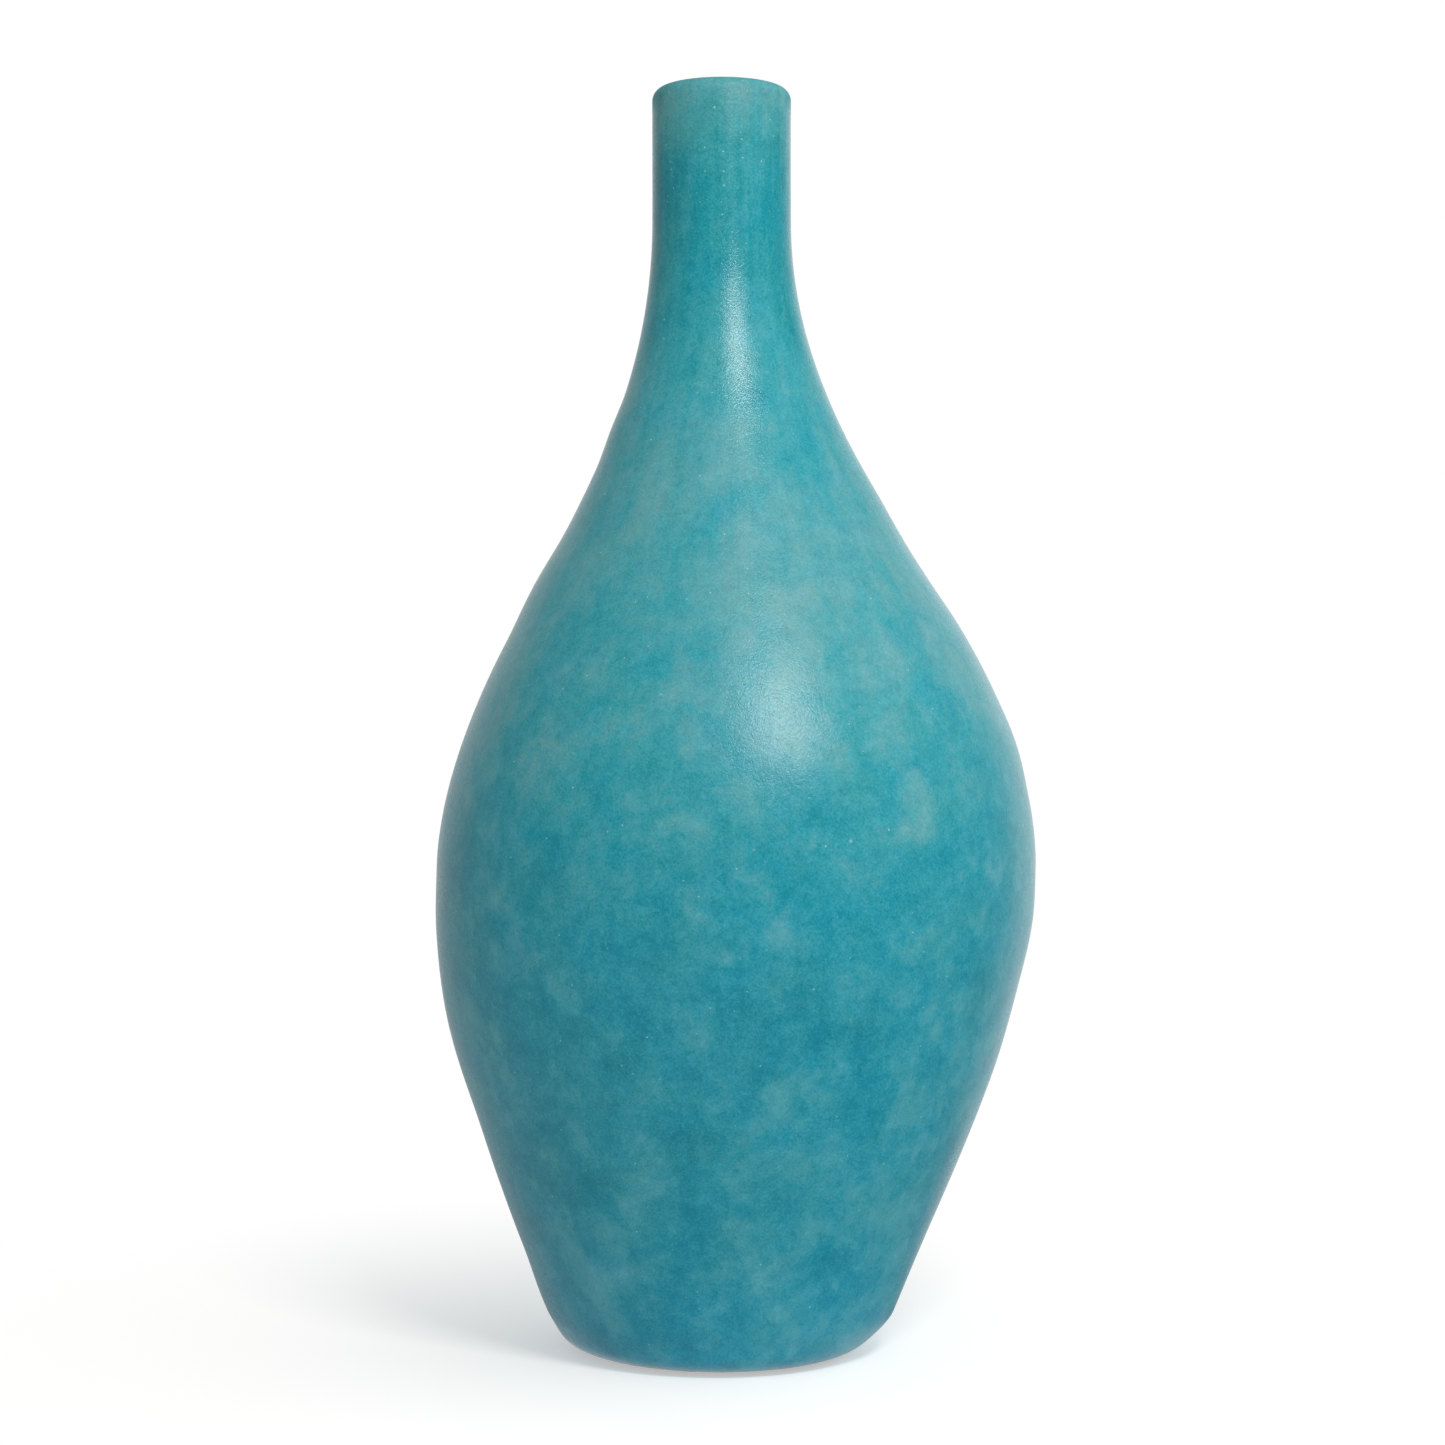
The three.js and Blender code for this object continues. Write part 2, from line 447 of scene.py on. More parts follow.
def rim(shape, height):
    """The V across the clay wall at a joint, from the outside in"""
    outer = radius_at(clay_outside(shape), height)
    inner = radius_at(clay_inside(shape), height)
    return [
        at(outer, height),
        at((outer + inner) / 2, height - shape.joint_depth),
        at(inner, height),
    ]


def clay_ring(shape, low, high):
    return [
        *reversed(rim(shape, low)),
        *stretch(shape, clay_outside(shape), low, high),
        *rim(shape, high),
        *reversed(stretch(shape, clay_inside(shape), low, high)),
    ]


def joint_heights(shape):
    return {
        "belly_lute": shape.belly_height + shape.belly_joint_rise,
        "neck_lute": shape.neck_start - shape.neck_skirt,
    }


def lute_outline(shape, height):
    return clay_ring(shape, height - shape.lute / 2, height + shape.lute / 2)


def base_outline(shape):
    """From the middle of the recess, round the foot ring and the wall, to the middle of the floor"""
    top = joint_heights(shape)["belly_lute"] - shape.lute / 2 - shape.gap
    ring_inside = shape.seat_radius - shape.ring_width
    outer, inner = clay_outside(shape), clay_inside(shape)
    recess = straight(
        at(0, shape.recess_depth),
        at(ring_inside - shape.recess_slope, shape.recess_depth),
        shape.point_spacing / 2,
    )
    for i, point in enumerate(recess[1:-1]):
        point.y += shape.recess_ripple * (i % 3)
    return [
        *recess,
        at(ring_inside, 0),
        at(shape.seat_radius, 0),
        at(shape.seat_radius, outer[0].y),
        *stretch(shape, outer[1:], 0, top),
        *rim(shape, top),
        *reversed(stretch(shape, inner, 0, top)),
        at(0, inner[0].y),
    ]


def shoulder_outline(shape):
    joints = joint_heights(shape)
    clear = shape.lute / 2 + shape.gap
    return clay_ring(shape, joints["belly_lute"] + clear, joints["neck_lute"] - clear)


def neck_outline(shape):
    low = joint_heights(shape)["neck_lute"] + shape.lute / 2 + shape.gap
    top = shape.height - shape.clay_depth
    return [
        *reversed(rim(shape, low)),
        *stretch(shape, clay_outside(shape), low, top),
        *lip_edge(shape, shape.clay_depth),
        at(shape.bore_radius, top),
        *reversed(stretch(shape, clay_inside(shape), low, top)),
    ]


def first_coat_outline(shape):
    outer = shape.finish_coat + shape.gap
    inner = outer + shape.first_coat
    return joined(
        side(shape, lambda height: outer),
        lip_edge(shape, outer),
        mouth_edge(shape, outer),
        [at(shape.bore_radius, shape.height - inner)],
        lip_edge(shape, inner)[::-1],
        side(shape, lambda height: inner)[::-1],
    )


def finish_coat_outline(shape):
    thickness = shape.finish_coat
    turned_down = shape.height - shape.mouth_coat_depth
    mouth = shape.mouth_radius
    spacing = shape.point_spacing
    return joined(
        side(shape, lambda height: 0),
        lip_edge(shape, 0),
        mouth_edge(shape, 0),
        straight(
            at(mouth, shape.height - shape.mouth_rounding),
            at(mouth, turned_down),
            spacing,
        ),
        [at(mouth + thickness, turned_down)],
        mouth_edge(shape, thickness)[::-1],
        lip_edge(shape, thickness)[::-1],
        side(shape, lambda height: thickness)[::-1],
    )


# Meshes


def swell_at(shape, height):
    """How far a ring's centre is off the line through the foot and the neck"""
    furthest = shape.belly_height + shape.swell_rise
    reach = shape.neck_start - furthest if height > furthest else furthest
    away = min(abs(height - furthest) / reach, 1)
    return shape.swell * (1 + cos(pi * away)) / 2


def thrown(shape, name, outline, steps):
    """Spins an outline round the Z axis into a closed mesh, and moves each ring to its own centre"""
    sector = 2 * pi / SECTORS
    centre, axis = (0, 0, 0), (0, 0, 1)
    bm = bmesh.new()
    points = [bm.verts.new((radius, 0, height)) for radius, height in outline]
    edges = [bm.edges.new(pair) for pair in zip(points, points[1:])]
    if outline[0].x > 0:
        edges.append(bm.edges.new((points[-1], points[0])))
    bmesh.ops.spin(
        bm,
        geom=points + edges,
        cent=centre,
        axis=axis,
        angle=sector,
        steps=round(steps / SECTORS),
    )
    bmesh.ops.spin(
        bm,
        geom=[*bm.verts, *bm.edges, *bm.faces],
        cent=centre,
        axis=axis,
        angle=2 * pi - sector,
        steps=SECTORS - 1,
        use_duplicate=True,
    )
    bmesh.ops.remove_doubles(bm, verts=bm.verts, dist=MERGE_DISTANCE)
    bmesh.ops.recalc_face_normals(bm, faces=bm.faces)
    if any(len(edge.link_faces) != 2 for edge in bm.edges):
        raise RuntimeError(f"{name} isn't a closed mesh")
    middle = swell_at(shape, shape.belly_height)
    for vert in bm.verts:
        vert.co.x += swell_at(shape, vert.co.z) - middle
    return bm


def finished(bm, name, node, material):
    """Makes the piece, and puts it in the CAD node's place"""
    for face in bm.faces:
        face.smooth = True
    for edge in bm.edges:
        edge.smooth = edge.calc_face_angle() < SOFT_BELOW
    mesh = bpy.data.meshes.new(name)
    bm.to_mesh(mesh)
    bm.free()
    mesh.materials.append(material)
    piece = bpy.data.objects.new(name, mesh)
    bpy.context.scene.collection.objects.link(piece)
    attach(piece, "root")
    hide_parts(node)
    return piece


# Where the wall is fuller or flatter than round: azimuth in degrees, -90 at the left and 0 at the front,
# height, reach and how far it comes out, in millimetres
HAND_SWELLS = [
    (-90, 364, 16, 0.7),
    (-90, 303, 24, 1.2),
    (-90, 126, 40, 1.4),
    (-90, 20, 22, 1.0),
    (-90, 0, 13, 3.8),
    (0, 0, 14, 4.4),
    (90, 312, 30, -1.0),
    (90, 240, 22, 0.7),
    (90, 143, 34, -0.95),
    (90, 7, 9, -1.5),
]


def by_hand(swells, out, height):
    """How far the wall is out at a place, because no hand makes it quite round"""
    push = 0
    for towards, middle, reach, rise in swells:
        facing = max(towards.dot(out), 0)
        away = min(abs(height / MM - middle) / reach, 1)
        push += rise * MM * facing**2 * (1 + cos(pi * away)) / 2
    return push


def burnish(shape, bm):
    """Moves the outside in and out a little, but never past the widest ring"""
    bm.normal_update()
    middle = swell_at(shape, shape.belly_height)
    swells = [(direction(radians(turn), 0), *row) for turn, *row in HAND_SWELLS]
    moves = []
    for vert in bm.verts:
        x, y, z = vert.co
        out = Vector((x - swell_at(shape, z) + middle, y, 0))
        radius = out.length
        out.normalize()
        facing = vert.normal.dot(out)
        if radius < shape.neck_radius - shape.lip_rounding or facing <= 0:
            continue
        slow = noise.noise(vert.co / shape.soft_pitch) * shape.soft_wave
        slow *= min(radius / shape.belly_radius * 1.4, 1)
        upright = Vector((x + 1, y + 2, z / shape.stone_stretch))
        stone = noise.noise(upright / shape.stone_pitch) * shape.stone_wave
        ends = min(min(z, shape.height - z) / shape.even_ends, 1)
        push = (slow + stone) * ends + by_hand(swells, out, z)
        push *= min(facing * 6, 1)
        room = max(shape.belly_radius - radius, 0)
        if push > 0:
            push *= room / (room + push)
        moves.append((vert, out * push))
    for vert, move in moves:
        vert.co += move
        vert.co.x = min(max(vert.co.x, CAD_BOX[0][0]), CAD_BOX[1][0])


# Shader nodes


class Wire:
    """The output of a shader node. Sums and products of numbers become Math nodes."""

    def __init__(self, sheet, socket):
        self.sheet = sheet
        self.socket = socket

    def maths(self, operation, *values):
        sockets = dict(enumerate(values))
        return self.sheet.add("ShaderNodeMath", {"operation": operation}, sockets)

    def __add__(self, other):
        return self.maths("ADD", self, other)

    def __sub__(self, other):
        return self.maths("SUBTRACT", self, other)

    def __rsub__(self, other):
        return self.maths("SUBTRACT", other, self)

    def __mul__(self, other):
        return self.maths("MULTIPLY", self, other)

    __radd__ = __add__
    __rmul__ = __mul__

    def over(self, other):
        return self.maths("MAXIMUM", self, other)

    def between(self, low, high, course="SMOOTHSTEP"):
        """0 at low and 1 at high, with a soft start and end unless the course is LINEAR"""
        return self.sheet.add(
            "ShaderNodeMapRange",
            {"interpolation_type": course},
            {"Value": self, "From Min": low, "From Max": high},
        )


class Sheet:
    """A node tree, cleared and ready for one material, or for the world"""

    def __init__(self, tree):
        self.tree = tree
        tree.nodes.clear()

    def add(self, kind, settings=None, sockets=None, output=0):
        """Adds a node, sets it up, fills its sockets, and gives one of its outputs"""
        node = self.tree.nodes.new(kind)
        for name, value in (settings or {}).items():
            setattr(node, name, value)
        for key, value in (sockets or {}).items():
            socket = node.inputs[key]
            if isinstance(value, Wire):
                self.tree.links.new(value.socket, socket)
            else:
                socket.default_value = value
        return Wire(self, node.outputs[output]) if node.outputs else node

    def place(self):
        return self.add("ShaderNodeTexCoord", output="Object")

    def rays(self):
        """Whether a ray is the camera's, a mirrored one, or one through glass"""
        node = self.add("ShaderNodeLightPath").socket.node
        names = ("Is Camera Ray", "Is Glossy Ray", "Is Transmission Ray")
        return [Wire(self, node.outputs[name]) for name in names]

    def split(self, vector):
        node = self.add("ShaderNodeSeparateXYZ", None, {0: vector}).socket.node
        return [Wire(self, socket) for socket in node.outputs]

    def vector(self, operation, *values, output=0):
        sockets = dict(enumerate(values))
        if operation == "SCALE":
            sockets = {0: values[0], "Scale": values[1]}
        return self.add("ShaderNodeVectorMath", {"operation": operation}, sockets, output)

    def mix(self, factor, a, b):
        """Colour a where the factor is 0, and b where it is 1"""
        return self.add(
            "ShaderNodeMix", {"data_type": "RGBA"}, {0: factor, 6: a, 7: b}, 2
        )

    def clouds(self, place, size, detail=4, roughness=0.55, output=0):
        """Noise with lumps about as wide as size"""
        return self.add(
            "ShaderNodeTexNoise",
            None,
            {
                "Vector": place,
                "Scale": 0.8 / size,
                "Detail": detail,
                "Roughness": roughness,
            },
            output,
        )

    def drift(self, place, size, detail, roughness):
        """The same, seldom under -1 or over 1"""
        return (self.clouds(place, size, detail, roughness) - 0.5) * 7

    def blots(self, place, size):
        """Round blots about as wide as size, with creases between them, spread as drift is"""
        cells = {"Vector": place, "Scale": 1 / size, "Detail": 2, "Roughness": 0.35}
        far = self.add("ShaderNodeTexVoronoi", None, cells, "Distance")
        return (0.79 - far) * 2.3

    def warped(self, place, size, detail, reach):
        """The place, pushed about within a box as wide as reach, in lumps of a size"""
        push = self.clouds(place, size, detail, output="Color")
        push = self.vector("SUBTRACT", push, (0.5, 0.5, 0.5))
        return self.vector("ADD", place, self.vector("SCALE", push, reach))

    def dots(self, place, spacing, radius):
        """1 inside round dots of up to a radius, a share of which are missing, and 0 outside"""
        cells = {"Vector": place, "Scale": 1 / spacing}
        far = self.add("ShaderNodeTexVoronoi", None, cells, "Distance")
        kind = self.add("ShaderNodeTexVoronoi", None, cells, "Color")
        pick = self.add("ShaderNodeSeparateColor", None, {0: kind})
        size = pick.between(0.35, 1) * (radius / spacing)
        return (size - far).between(0, 0.3 * radius / spacing)

    def bump(self, relief, depth):
        """A normal for a relief that is 1 at a depth"""
        sockets = {"Strength": 1, "Distance": depth, "Height": relief}
        return self.add("ShaderNodeBump", None, sockets)

    def finish(self, **sockets):
        """Ends the tree with a Principled shader"""
        shader = self.add(
            "ShaderNodeBsdfPrincipled",
            None,
            {key.replace("_", " "): value for key, value in sockets.items()},
        )
        self.add("ShaderNodeOutputMaterial", None, {"Surface": shader})


def rgba(linear):
    return (*linear, 1)


def material(name):
    made = bpy.data.materials.new(name)
    made.use_nodes = True
    return made, Sheet(made.node_tree)


# Where the stone closed the plaster on the side that faces the camera, and where lime came up on it:
# a place on the surface, the mark's half width and half height, all in millimetres, and its strength
# Some of the deep marks are painted shade, not closed plaster: they dim the highlights on the neck and
# the belly, and the reflection along the belly's right edge.
DEEP_AND_SHADE_MARKS = [
    (-12, -27, 447, 6, 17, 0.8),
    (11, -22, 446, 8, 18, 0.9),
    (20, -20, 405, 8, 27, 1.1),
    (-14, -32, 396, 5, 23, 0.4),
    (-26, -32, 381, 4, 27, 0.3),
    (24, -37, 361, 8, 23, 0.4),
    (-51, -73, 283, 21, 24, 0.35),
    (-6, -118, 202, 6, 15, 0.9),
    (34, -112, 214, 20, 5, 0.8),
    (-31, -115, 200, 20, 13, 0.6),
    (67, -98, 198, 20, 15, 0.3),
    (93, -71, 215, 8, 19, 0.5),
    (81, -85, 171, 15, 17, 0.2),
    (-5, -111, 139, 8, 7, 1),
    (22, -111, 148, 7, 6, 0.9),
    (43, -98, 130, 11, 18, 0.4),
    (-2, -97, 97, 27, 5, 0.7),
    (-28, -114, 161, 14, 10, 0.7),
    (-92, -77, 173, 9, 7, 0.7),
    (-17, -87, 74, 4, 15, 0.6),
    (-12, -82, 60, 6, 7, 0.6),
    (55, -81, 104, 20, 7, 0.3),
    (35, -59, 33, 21, 8, 0.5),
    (-56, -39, 15, 16, 4, 0.4),
    (80, -73, 247, 28, 30, 0.6),
    (1, -31, 405, 11, 10, 0.5),
    (17, -16, 458, 10, 31, 1.1),
    (21, -13, 420, 10, 24, 0.8),
    (-3, -28, 457, 16, 12, 0.5),
    (-111, -44, 192, 10, 23, 0.4),
    (-89, -60, 244, 10, 16, 0.5),
    (-25, -116, 181, 22, 25, 0.9),
    (-64, -66, 277, 19, 14, 0.5),
    (26, -114, 165, 13, 12, 0.5),
    (-46, -108, 158, 22, 18, 0.8),
    (-30, -14, 473, 5, 28, 0.5),
    # Partly a deep spot, partly painted shade over the top of the belly's highlight
    (12, -97, 268, 10, 7, 0.9),
    # Painted shade that dims the neck's highlight where it runs down
    (4, -40, 374, 6, 27, 0.8),
    # Painted shade that dims the reflection along the belly's right edge, on this row and the next
    (96, -39, 259, 15, 10, 0.8),
    (102, -47, 237, 8, 13, 0.8),
    (28, -96, 108, 10, 8, 0.6),
    (-7, -119, 189, 9, 10, 0.5),
    (-4, -116, 157, 22, 9, 0.4),
    (-72, -95, 165, 12, 18, 0.3),
    (-17, -104, 118, 15, 11, 0.3),
    # Painted shade that dims the right side of the neck's highlight
    (19, -25, 393, 14, 19, 0.6),
    # Painted shade that dims the left side of the belly's highlight
    (3, -106, 252, 5, 18, 0.5),
    (59, -89, 251, 11, 15, 0.4),
    (30, -74, 59, 13, 10, 0.6),
    (10, -75, 48, 10, 12, 0.4),
]
CHALK_MARKS = [
    (9, -82, 293, 30, 30, 0.45),
    (-7, -53, 344, 14, 61, 1.2),
    (-9, -36, 386, 10, 17, 1),
    (15, -41, 363, 15, 12, 0.5),
    (36, -41, 340, 13, 14, 0.7),
    (39, -61, 309, 23, 21, 0.8),
    (-32, -72, 301, 22, 15, 0.6),
    (-2, -71, 313, 17, 22, 0.6),
    (-27, -46, 348, 15, 31, 0.7),
    (49, -87, 264, 11, 15, 0.4),
    (-13, -103, 256, 18, 18, 0.4),
    (5, -115, 222, 11, 14, 0.7),
    (-53, -98, 235, 18, 13, 0.9),
    (48, -100, 240, 11, 12, 0.5),
    (-66, -92, 229, 15, 22, 0.5),
    (12, -118, 177, 13, 9, 0.5),
    (-19, -111, 141, 9, 9, 0.35),
    (3, -104, 116, 25, 9, 0.5),
    (57, -85, 116, 15, 11, 0.7),
    (-32, -91, 93, 13, 9, 0.35),
    (1, -87, 74, 22, 17, 0.6),
    (52, -102, 154, 10, 14, 0.3),
    (-40, -67, 42, 23, 15, 0.25),
    (-65, -68, 77, 32, 19, 0.4),
    (72, -59, 90, 11, 12, 1),
    (88, -72, 151, 8, 26, 0.6),
    (59, -32, 28, 9, 10, 0.2),
    (46, -70, 69, 19, 15, 0.2),
    (-6, -81, 295, 9, 19, 0.8),
    (80, -63, 115, 11, 21, 0.6),
    (44, -81, 90, 22, 13, 0.4),
]

# Painted shade: marks that darken the whole coat to stand in for shade, on the left of the neck and the
# body and at the lip, and one just above the belly's highlight that greys it
PAINTED_SHADE_MARKS = [
    (16, -90, 278, 11, 7, 0.2),
    (-31, -11, 458, 6, 51, 0.8),
    (-24, -21, 456, 14, 47, 0.6),
    (-33, -17, 402, 5, 24, 0.6),
    (5, -24, 491, 23, 9, 0.35),
    (-90, -49, 257, 15, 34, 0.4),
    (-107, -52, 196, 10, 30, 0.5),
    (-28, -14, 493, 6, 16, 0.6),
]

# Lumps of unslaked lime large enough to see, one of them broken out at the right
LIME_CHIPS = [
    (110.5, -41.3, 208.6, 1.2, 1.9, 1),
    (41.1, -111.0, 205.2, 0.8, 0.8, 1),
    (10.5, -117.1, 166.4, 0.7, 0.7, 0.8),
    (6.0, -118.4, 202.3, 0.7, 0.7, 0.8),
    (5.0, -115.9, 219.4, 0.7, 0.7, 0.6),
    (9.0, -114.3, 225.9, 0.7, 0.7, 0.6),
    (-6.1, -70.2, 31.4, 0.7, 1.0, 1),
    (-5.7, -63.3, 19.9, 0.8, 1.0, 0.8),
    (21.8, -65.7, 33.2, 0.8, 1.0, 0.8),
    (-12.6, -85.3, 69.0, 0.7, 0.7, 0.8),
    (-4.1, -86.6, 71.5, 0.7, 0.7, 0.8),
    (44.8, -74.3, 76.2, 0.7, 0.7, 0.7),
    (-30.8, -45.1, 345.8, 0.8, 1.9, 0.5),
    (24.4, -56.8, 327.4, 1.0, 1.0, 0.6),
    (-7.9, -43.4, 366.3, 0.8, 1.0, 0.6),
    (-38.3, -88.2, 269.6, 0.7, 1.1, 0.5),
    (-63.9, -100.4, 195.9, 0.7, 0.7, 0.9),
    (-59.3, -103.4, 193.0, 0.7, 0.7, 0.8),
    (-14.2, -79.5, 55.1, 0.7, 0.7, 0.8),
]

# Pinholes large enough to see, in the same form
PINHOLES = [
    (-15, -79, 55, 1.6, 1.6, 1),
    (-13.5, -80, 56.5, 1.1, 1.1, 0.8),
    (-63.4, -100.7, 195.2, 1.0, 1.0, 0.7),
]


# Added to the plaster's colour where its tint drifts and at the lip. The foot gains a share of its own.
TINT_DRIFT = (0.010, 0.006, -0.012)
LIP_GREY = (0.018, 0.0, -0.022)
FOOT_BLUE = (0.0, 0.05, 0.10)

# Where a mark fades out, in its own half widths
MARK_EDGE = 1.25


def marks(sheet, place, rows):
    """Soft-edged marks at given places"""
    total = 0
    for x, y, z, wide, high, strength in rows:
        off = sheet.vector("SUBTRACT", place, (x * MM, y * MM, z * MM))
        halves = (1 / (wide * MM), 1 / (wide * MM), 1 / (high * MM))
        off = sheet.vector("MULTIPLY", off, halves)
        far = sheet.vector("LENGTH", off, output="Value")
        total = far.between(MARK_EDGE, 0.0) * strength + total
    return total


def upright_strokes(sheet, finish, place, bent):
    """Strokes that the stone left upwards, in noise that hardly changes with the height"""
    around = sheet.vector("NORMALIZE", sheet.vector("MULTIPLY", place, (1, 1, 0)))
    around = sheet.vector("SCALE", around, 45 * MM)
    upright = sheet.vector("ADD", around, sheet.vector("MULTIPLY", bent, (0, 0, 0.10)))
    return sheet.drift(upright, finish.streak_width, 3, 0.6)


def lime_at_surface(sheet, finish, place, bent, clouds):
    """How much lime came up: over 0 in pale plaster, and under 0 where the stone closed it"""
    dabs = sheet.vector("MULTIPLY", bent, (1, 1, 0.6))
    dabs = sheet.drift(dabs, finish.dab_size, 4, 0.62)
    frayed = sheet.warped(place, 12 * MM, 2, 27 * MM)
    blots = sheet.blots(frayed, finish.blot_size)
    haze = sheet.drift(place, finish.haze_size, 4, 0.6)
    strokes = upright_strokes(sheet, finish, place, bent)

    # The stone closed the plaster more in the neck and low on the belly, and lime came up between them
    z = sheet.split(place)[2]
    height = z + haze * 9 * MM + strokes * 4 * MM
    neck = height.between(0.385, 0.440) * height.between(0.485, 0.455)
    belly = height.between(0.260, 0.190) * height.between(0.050, 0.120)
    shoulder = height.between(0.215, 0.270) * height.between(0.385, 0.335)
    upper = z.between(0.18, 0.32)
    low = z.between(0.29, 0.10)
    dabbed = z.between(0.34, 0.18)

    lime = clouds * (low * finish.low_clouds + finish.clouds)
    lime = lime + dabs * (dabbed * finish.low_dabs + finish.dabs)
    lime = lime + blots * (dabbed * finish.low_blots + finish.blots)
    lime = lime + strokes * ((upper + neck) * finish.high_strokes + finish.strokes)
    lime = lime + marks(sheet, bent, CHALK_MARKS) * finish.chalk_marks
    # The deep marks, some of them painted shade over highlights and the right edge's reflection
    lime = lime - marks(sheet, bent, DEEP_AND_SHADE_MARKS) * finish.deep_and_shade_marks
    return lime + shoulder * 0.08 - neck * 0.22 - belly * 0.04


def plaster_tone(sheet, finish, place, low, chalk, deep):
    """The plaster's colour, without sand, specks and pits"""
    z = sheet.split(place)[2]
    tone = sheet.mix(low, rgba(finish.body), rgba(finish.low_body))
    pale = sheet.mix(low, rgba(finish.chalk), rgba(finish.low_chalk))
    dark = sheet.mix(low, rgba(finish.deep), rgba(finish.low_deep))
    tone = sheet.mix(chalk, tone, pale)
    tone = sheet.mix(deep, tone, dark)
    tint = sheet.drift(place, 20 * MM, 5, 0.75)
    tone = sheet.vector("ADD", tone, sheet.vector("SCALE", TINT_DRIFT, tint))
    lip_grey = sheet.vector("SCALE", LIP_GREY, z.between(0.455, 0.485))
    tone = sheet.vector("ADD", tone, lip_grey)
    bluer = sheet.vector("SCALE", FOOT_BLUE, z.between(0.065, 0.015))
    return sheet.vector("MULTIPLY", tone, sheet.vector("ADD", bluer, (1, 1, 1)))


def burnished_plaster(finish):
    """Turquoise lime plaster, rubbed with a stone: clouds, deep patches, strokes, specks and pits, with
    painted shade in some marks and at the foot's hem, and painted light low on the foot
    """
    made, sheet = material("burnished_plaster")
    place = sheet.place()
    bent = sheet.warped(place, 20 * MM, 1, 12 * MM)
    z = sheet.split(place)[2]
    low = z.between(0.29, 0.10)
    near_lip = z.between(0.425, 0.480)
    lip = z.between(0.488, 0.497)
    foot = z.between(0.014, 0.002)

    clouds = sheet.drift(bent, finish.cloud_size, 3, 0.6)
    lime = lime_at_surface(sheet, finish, place, bent, clouds)
    chalk = lime.between(0.0, 0.60 - low * 0.18, "LINEAR")
    deep = lime.between(0.0, low * 0.06 - 0.42, "LINEAR")
    tone = plaster_tone(sheet, finish, place, low, chalk, deep)

    sand = sheet.drift(place, finish.sand_size, 4, 0.9)
    grain = sheet.drift(place, finish.grain_size, 2, 0.8)
    pepper = sand * 0.09 + grain * 0.115
    tone = sheet.vector("ADD", tone, sheet.vector("SCALE", tuple(finish.grain), pepper))
    tone = sheet.vector("MAXIMUM", tone, (0, 0, 0))
    # Painted shade: the shade marks darken the whole coat where it lies in shade
    shaded = marks(sheet, bent, PAINTED_SHADE_MARKS) * finish.painted_shade_marks
    # Painted light: the lowest 14 mm is made a tenth brighter, partly a paler foot and partly standing
    # in for light against the shade from the floor
    tone = sheet.vector("SCALE", tone, foot * 0.10 + 1 - shaded)

    specks = sheet.dots(place, finish.speck_spacing, finish.speck_radius)
    lip_specks = sheet.dots(bent, 0.5 * finish.speck_spacing, finish.speck_radius)
    specks = specks.over(lip_specks * near_lip).over(marks(sheet, place, LIME_CHIPS))
    tone = sheet.mix(specks * 0.55, tone, rgba(finish.lime))
    pits = sheet.dots(bent, 1.8 * finish.speck_spacing, 0.8 * finish.speck_radius)
    pits = pits.over(marks(sheet, place, PINHOLES))
    tone = sheet.mix(pits * 0.7, tone, rgba(finish.pit))

    # Painted shade: a dark brown hem, about a millimetre high with a wandering edge, along the coat's
    # lower edge stands in for the contact shadow under the foot; it is rougher too
    edge = z - sheet.drift(place, 7 * MM, 3, 0.8) * finish.hem_roughness
    shadowed = edge.between(1.9 * MM, 1.2 * MM)
    tone = sheet.mix(shadowed, tone, rgba(finish.hem_shadow))

    rough = clouds * 0.01 + finish.gloss + chalk * 0.06 - deep * 0.03
    rough = rough + shadowed * 0.4 + specks * 0.2 + lip * 0.3
    relief = grain * 0.42 + sand * 0.10 + specks * 0.5 - pits * 2
    bump = sheet.bump(relief, finish.grain_depth)
    sheet.finish(
        Base_Color=tone, Roughness=rough, Specular_IOR_Level=finish.sheen, Normal=bump
    )
    return made


def fired_clay(name, clay, tint):
    """Fired clay or slip: cloudy, sandy and dull, with rings from the wheel"""
    made, sheet = material(name)
    place = sheet.place()
    clouds = sheet.clouds(place, clay.cloud_size, 5, 0.6)
    sand = sheet.clouds(place, clay.sand_size, 3, 0.7)
    rings = sheet.vector("MULTIPLY", place, (0.05, 0.05, 1))
    rings = sheet.clouds(rings, clay.ring_size, 2)
    factor = clouds.between(0.35, 0.68) * 0.7 + sand.between(0.4, 0.8) * 0.35
    tone = sheet.mix(factor, rgba(tint), rgba(clay.toasted))
    bump = sheet.bump(sand + rings * 0.8, clay.relief)
    sheet.finish(Base_Color=tone, Roughness=clouds * 0.1 + 0.8, Normal=bump)
    return made


def floated_plaster(clay):
    """The first coat: dull, sandy and unevenly tinted, as the wood float left it"""
    made, sheet = material("floated_plaster")
    place = sheet.place()
    clouds = sheet.clouds(place, clay.coat_cloud_size, 5, 0.6)
    sand = sheet.clouds(place, clay.coat_sand_size, 3, 0.7)
    factor = clouds.between(0.3, 0.7) * 0.6 + sand.between(0.45, 0.8) * 0.3
    tone = sheet.mix(factor, rgba(clay.first_coat), rgba(clay.first_coat_pale))
    bump = sheet.bump(sand, clay.coat_relief)
    sheet.finish(Base_Color=tone, Roughness=clouds * 0.08 + 0.82, Normal=bump)
    return made


# Operators


